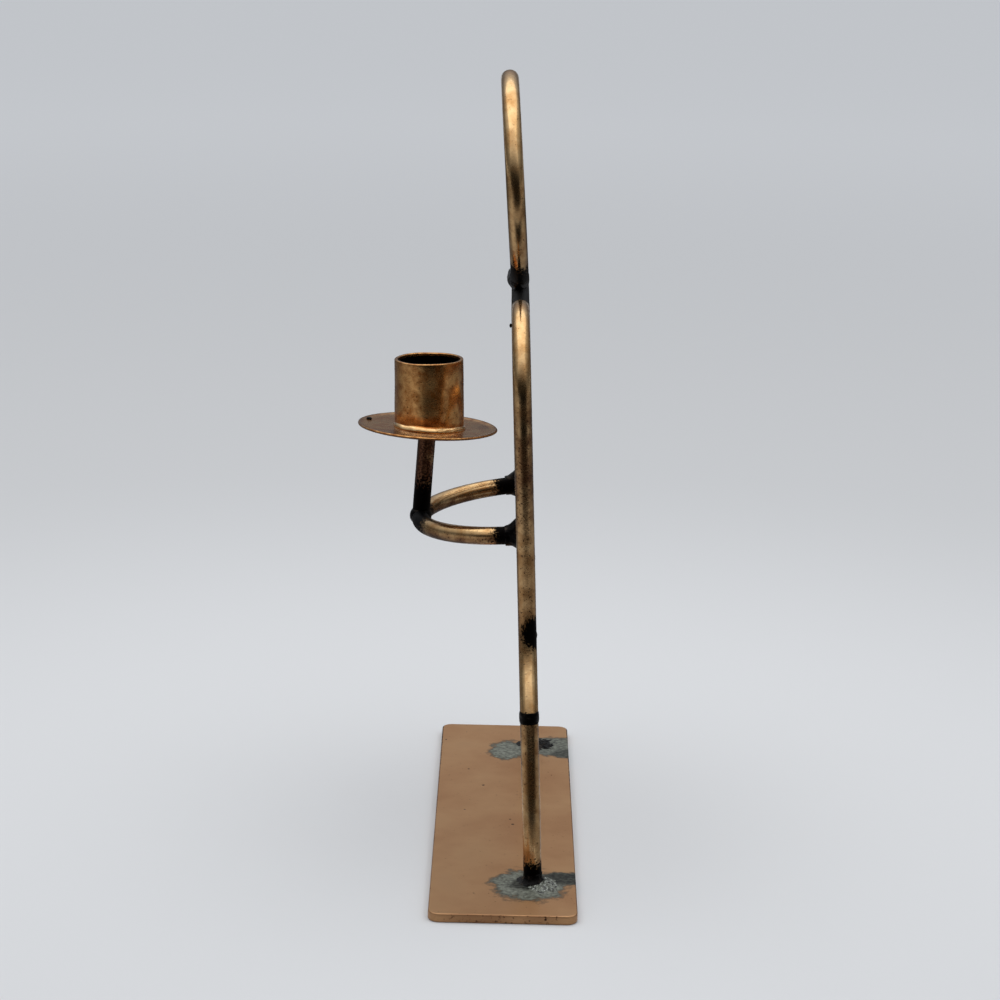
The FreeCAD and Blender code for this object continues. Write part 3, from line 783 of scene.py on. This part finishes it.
seamBeads = {"weld_spiral_tail": 1.15, "weld_spiral_front": 1.15, "weld_spiral_rear": 1.05}
for number, (name, growth) in enumerate(seamBeads.items()):
    beadOnNode(name, 1.3 + 2.1 * number, growth, 1.0)
beadOnNode("weld_crown_ring", 9.4, 1.1, 1.3)
beadOnNode("spatter_pan_lip", 11.2, 1.3, 0.6)
beadOnNode("spatter_frame_corner", 12.6, 1.0, 0.4)
postBead = ballMesh("weld_post_foot", mm(4.0, 3.9, 3.9))
makeWeld("weld_post_foot", postBead, postPlace @ Matrix.Translation(mm(0, 0, 0.8)), 14.0, 0.5)

legCollar = {"halfHeight": 2.1, "front": 0.3, "rear": 0.2}
footCollar = {"width": 2.4, "height": 3.4, "sunk": 0.3}
crust = {
    "radius": (7.0, 8.5), "height": 1.5, "dome": 0.80, "rough": 0.45, "sunk": 0.4, "size": 3.4, "rings": 44,
    "aside": 4.0,
}


def footCollarMesh(name):
    sunk, width, height = footCollar["sunk"], footCollar["width"], footCollar["height"]
    turns = [math.radians(a) for a in range(180, 271, 10)]
    fillet = [(rodRadius + width * (1 + math.cos(a)), height * (1 + math.sin(a))) for a in turns]
    profile = [(rodRadius - 0.5, height)] + fillet + [(rodRadius + width, -sunk), (rodRadius - 0.5, -sunk)]
    return latheMesh(name, profile, 96, closed=True)


def crustMesh(name, seed):
    # A crust that rises through the foot's surface where its noise is high enough
    profile = [(0, 0)] + spread((0.02, 0), (1, 0), crust["rings"]) + [(1, -0.5), (0, -0.5)]
    mesh = latheMesh(name, profile, 150)
    for vertex in mesh.vertices:
        share = vertex.co.xy.length / milli
        top = vertex.co.z > mm(-0.25)
        vertex.co.x *= crust["radius"][0]
        vertex.co.y *= crust["radius"][1]
        spot = vertex.co / mm(crust["size"]) + Vector((seed, 0, 0))
        rough = noise.fractal(spot, 0.7, 2.0, 5)
        if top:
            height = crust["height"] * (crust["dome"] - share + crust["rough"] * rough)
            vertex.co.z = mm(max(height, -crust["sunk"]))
    return mesh


footCrusts = (("front", -1, 3.5, crustMaterial), ("rear", 1, 0.5, weldScale))
for number, (side, sign, forward, crustLook) in enumerate(footCrusts):
    legPlace = figurePlace @ Matrix.Translation(mm(0, sign * legSpacing, figure["legHeight"]))
    collar = collarMesh(f"weld_{side}_leg_top", legCollar["halfHeight"], legCollar[side])
    share = 0.6 * legCollar[side] / legCollar["front"]
    makeWeld(f"weld_{side}_leg_top", collar, legPlace, 15.0 + number, share)
    footSpot = figurePlace @ mm(0, sign * legSpacing, 0)
    footMesh = footCollarMesh(f"weld_{side}_foot")
    makeWeld(f"weld_{side}_foot", footMesh, Matrix.Translation(footSpot), 17.0 + number, 1.2)
    crustSpot = Matrix.Translation(footSpot + mm(crust["aside"], -forward, 0))
    makeWeld(f"flux_{side}_foot", crustMesh(f"flux_{side}_foot", 3.0 * number), crustSpot,
             19.0 + number, 0.3, crustLook, ())

headPlace = panPlace @ Matrix.Translation(mm(0, 0, -0.7))
makeWeld("weld_post_head", collarMesh("weld_post_head", 1.1, 1.0), headPlace, 21.0, 0.6)

archFillet = {"height": 1.1, "width": 0.78, "lift": 0.7, "length": 7.2}
filletProfile = [
    (0, -0.8), (3.0, -0.8), (5.0, -0.2), (5.6, 1.0), (5.4, 2.4), (4.9, 3.2), (4.3, 4.0), (3.75, 5.0),
    (3.42, 6.0), (3.24, 7.2), (0, 7.2),
]
finerProfile = []
for first, second in zip(filletProfile, filletProfile[1:]):
    finerProfile += spread(first, second, 4)[:-1]
finerProfile.append(filletProfile[-1])
outOfRod = Matrix(((0, 0, -1, 0), (0, 1, 0, 0), (1, 0, 0, 0), (0, 0, 0, 1)))  # the lathe's axis towards -X
for number, (side, sign) in enumerate((("front", -1), ("rear", 1))):
    fillet = latheMesh(f"weld_arch_{side}", finerProfile, 96)
    for vertex in fillet.vertices:
        vertex.co.x *= archFillet["height"]
        vertex.co.y *= archFillet["width"]
        vertex.co.x += mm(archFillet["lift"]) * (1 - vertex.co.z / mm(archFillet["length"]))
    spot = archPlace @ Matrix.Translation(mm(0, sign * arch["radius"], 0)) @ outOfRod
    makeWeld(f"weld_arch_{side}", fillet, spot, 23.0 + number, 0.8)
print("welds made")


# Floor and light: a pale table, one large soft light above, and cards that only reflections see
# Metres, degrees and shares of white
stage = {"reach": 30.0, "skyHeight": (0.2, 0.85), "sky": (0.16, 1.0)}
paintedFloorTone = {"close": 0.71, "mid": 0.60, "far": 0.79, "paintedDimming": (0.15, 0.6), "paintedPaling": (0.6, 2.6)}
softbox = {"power": 7.7, "place": (0.0, 0.15, 1.25), "target": (0.0, 0.0, 0.1), "size": (1.9, 1.5)}
card = {"height": 0.002, "reach": 3.5, "hole": (0.035, 0.11)}
curtain = {"at": -1.6, "half": 2.2, "foot": 0.01, "top": 3.4, "fade": (0.62, 2.0), "bright": 1.2}
mirrored = {
    "dark": 0.004, "turn": 14, "wedge": (24, 62), "left": 0.55, "right": 0.36, "far": 0.45,
    "farSpan": (0.45, 1.0), "behind": 0.35, "near": 0.32, "nearSpan": (0.105, 0.14), "middle": 0.55,
    "middleStart": (0.25, 0.34), "middleEnd": (0.42, 0.55),
}


def sheetMesh(name, corners, faces, material):
    mesh = bpy.data.meshes.new(name)
    mesh.from_pydata(corners, [], faces)
    mesh.materials.append(material)
    piece = newPiece(name, mesh)
    return piece


def makeFloor():
    # Matt paper whose tone paints light and shade: darker from 0.15 to 0.6 m out and paler further off
    material, tree = newMaterial("floorPaperWithPaintedFalloff")
    place = addNode(tree, "ShaderNodeTexCoord").outputs["Object"]
    away = vectorMath(tree, "LENGTH", place).outputs["Value"]
    fall = ramp(tree, away, *paintedFloorTone["paintedDimming"], paintedFloorTone["close"], paintedFloorTone["mid"], "SMOOTHSTEP")
    rise = ramp(tree, away, *paintedFloorTone["paintedPaling"], 0.0, paintedFloorTone["far"] - paintedFloorTone["mid"], "SMOOTHSTEP")
    tone = mathNode(tree, "ADD", fall, rise)
    tint = addNode(tree, "ShaderNodeCombineColor", {0: tone, 1: tone, 2: tone}).outputs[0]
    finishMaterial(tree, {"Base Color": tint, "Roughness": 1.0, "Specular IOR Level": 0.0})
    reach = stage["reach"]
    corners = [(-reach, -reach, 0), (reach, -reach, 0), (reach, reach, 0), (-reach, reach, 0)]
    sheetMesh("floor", corners, [(0, 1, 2, 3)], material)


def onlyReflected(piece):
    piece.visible_camera = False
    piece.visible_diffuse = False
    piece.visible_transmission = False
    piece.visible_shadow = False


def glowMaterial(name, strengthOf):
    material, tree = newMaterial(name)
    place = addNode(tree, "ShaderNodeTexCoord").outputs["Object"]
    parts = addNode(tree, "ShaderNodeSeparateXYZ", {0: place}).outputs
    glow = addNode(tree, "ShaderNodeEmission", {
        "Color": hexColour("#fbfbff"), "Strength": strengthOf(tree, parts)})
    addNode(tree, "ShaderNodeOutputMaterial", {"Surface": glow.outputs[0]})
    return material


def tableStrength(tree, parts):
    # Dark in front, where the room behind the photographer shows, and grey to both sides
    ahead = mathNode(tree, "MULTIPLY", parts["Y"], -1.0)
    bearing = mathNode(tree, "ARCTAN2", parts["X"], ahead)
    turn = mathNode(tree, "SUBTRACT", bearing, math.radians(mirrored["turn"]))
    aside = mathNode(tree, "ABSOLUTE", turn)
    flank = ramp(tree, turn, -0.2, 0.2, mirrored["left"], mirrored["right"])
    away = mathNode(
        tree, "MAXIMUM", mathNode(tree, "ABSOLUTE", parts["X"]), mathNode(tree, "ABSOLUTE", ahead))
    flank = mathNode(tree, "MULTIPLY", flank, ramp(tree, away, *mirrored["farSpan"], 1.0, mirrored["far"]))
    flank = mathNode(tree, "MULTIPLY", flank, ramp(tree, aside, 1.7, 2.3, 1.0, mirrored["behind"]))
    share = ramp(tree, aside, *(math.radians(a) for a in mirrored["wedge"]))
    sideways = mathNode(tree, "MAXIMUM", mathNode(tree, "MULTIPLY", flank, share), mirrored["dark"])
    near = ramp(tree, ahead, *mirrored["nearSpan"], mirrored["near"], 0.0)
    rise = ramp(tree, ahead, *mirrored["middleStart"], 0.0, mirrored["middle"])
    fall = ramp(tree, ahead, *mirrored["middleEnd"], mirrored["middle"], 0.0)
    bands = mathNode(tree, "MAXIMUM", near, mathNode(tree, "MINIMUM", rise, fall))
    inFront = ramp(tree, aside, 1.2, 1.7, 1.0, 0.0)
    return mathNode(tree, "MAXIMUM", sideways, mathNode(tree, "MULTIPLY", bands, inFront))


def curtainStrength(tree, parts):
    return ramp(tree, parts["Z"], *curtain["fade"], mirrored["dark"], curtain["bright"])


def makeCards():
    squares = (card["hole"], (card["reach"], card["reach"]))
    signs = ((-1, -1), (1, -1), (1, 1), (-1, 1))
    corners = [(x * w, y * d, card["height"]) for w, d in squares for x, y in signs]
    faces = [(4, 5, 1, 0), (5, 6, 2, 1), (6, 7, 3, 2), (7, 4, 0, 3)]
    onlyReflected(sheetMesh("tableCard", corners, faces, glowMaterial("tableGlow", tableStrength)))
    at, half, foot, top = (curtain[key] for key in ("at", "half", "foot", "top"))
    corners = [(-half, at, foot), (half, at, foot), (half, at, top), (-half, at, top)]
    glow = glowMaterial("curtainGlow", curtainStrength)
    onlyReflected(sheetMesh("roomCurtain", corners, [(0, 1, 2, 3)], glow))


def makeSoftbox():
    data = bpy.data.lights.new("softbox", "AREA")
    data.shape = "RECTANGLE"
    data.size, data.size_y = softbox["size"]
    data.energy = softbox["power"]
    lamp = bpy.data.objects.new("softbox", data)
    lamp.location = softbox["place"]
    toTarget = Vector(softbox["target"]) - Vector(softbox["place"])
    lamp.rotation_euler = toTarget.to_track_quat("-Z", "Y").to_euler()
    bpy.context.scene.collection.objects.link(lamp)


def makeWorld():
    world = bpy.data.worlds.new("studio")
    bpy.context.scene.world = world
    world.use_nodes = True
    tree = world.node_tree
    tree.nodes.clear()
    heading = addNode(tree, "ShaderNodeTexCoord").outputs["Generated"]
    height = addNode(tree, "ShaderNodeSeparateXYZ", {0: heading}).outputs["Z"]
    strength = ramp(tree, height, *stage["skyHeight"], *stage["sky"])  # dim walls under a lit ceiling
    light = addNode(tree, "ShaderNodeBackground", {"Color": hexColour("#f5f9ff"), "Strength": strength})
    addNode(tree, "ShaderNodeOutputWorld", {"Surface": light.outputs[0]})


makeFloor()
makeCards()
makeWorld()
makeSoftbox()


# Camera: where the photograph was taken from, worked out from the foot's four corners
camera = {
    "place": (-4.144, -971.777, 359.76), "pitch": 13.7155, "roll": 1.3158, "focal": 2755.42, "image": 1000,
    "sensor": 36.0,
}


def makeCamera():
    data = bpy.data.cameras.new("camera")
    data.sensor_width = camera["sensor"]
    data.lens = data.sensor_width * camera["focal"] / camera["image"]
    eye = bpy.data.objects.new("camera", data)
    tilt = Matrix.Rotation(math.radians(90 - camera["pitch"]), 4, "X")
    roll = Matrix.Rotation(math.radians(camera["roll"]), 4, "Z")
    eye.matrix_world = Matrix.Translation(mm(*camera["place"])) @ tilt @ roll
    bpy.context.scene.collection.objects.link(eye)
    bpy.context.scene.camera = eye


makeCamera()
bpy.context.scene.view_settings.view_transform = "Standard"
print("stage set")
